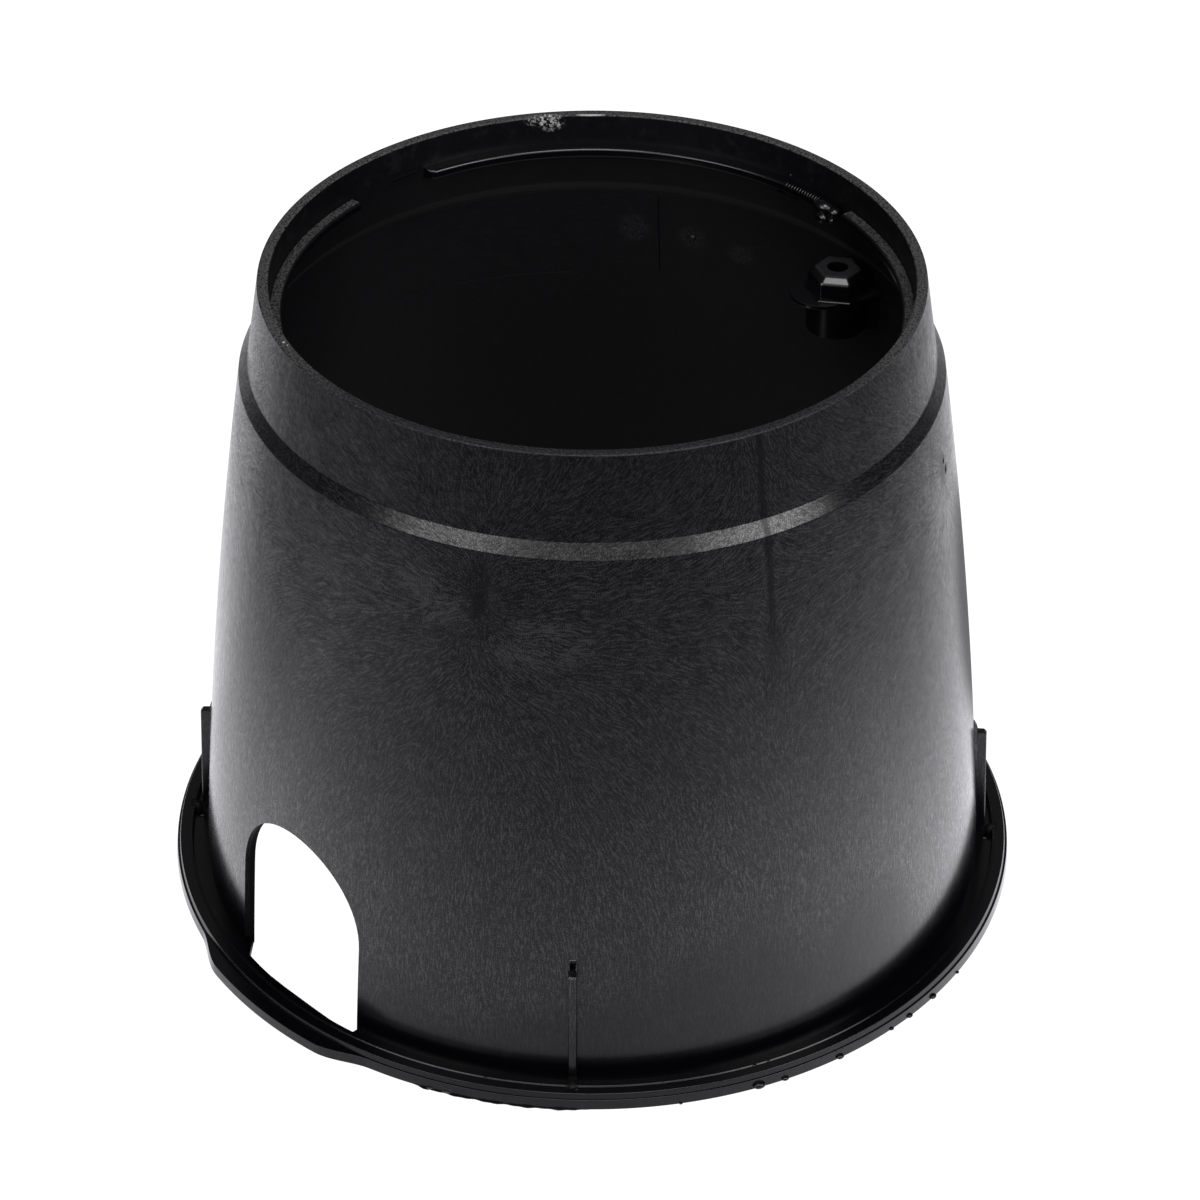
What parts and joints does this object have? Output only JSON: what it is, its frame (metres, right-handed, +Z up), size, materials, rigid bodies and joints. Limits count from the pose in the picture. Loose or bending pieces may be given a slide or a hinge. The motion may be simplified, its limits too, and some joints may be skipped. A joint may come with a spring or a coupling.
{
  "type": "irrigation valve box",
  "caption": "Round moulded valve box body with a stepped collar, a lid ledge and bolt boss inside the rim, arched pipe openings and a lipped ground flange.",
  "frame": {"origin": "centre of the underside of the ground flange", "axes": "+Z up along the box's axis; +Y and -Y through the pipe openings, with the bolt boss near +Y; +X to the side"},
  "size_m": [0.334, 0.3428, 0.26],
  "materials": {
    "black_plastic": "satin black polyethylene with flow marks"
  },
  "bodies": {
    "root": {"valve_box_body": "black_plastic"}
  },
  "joints": []
}
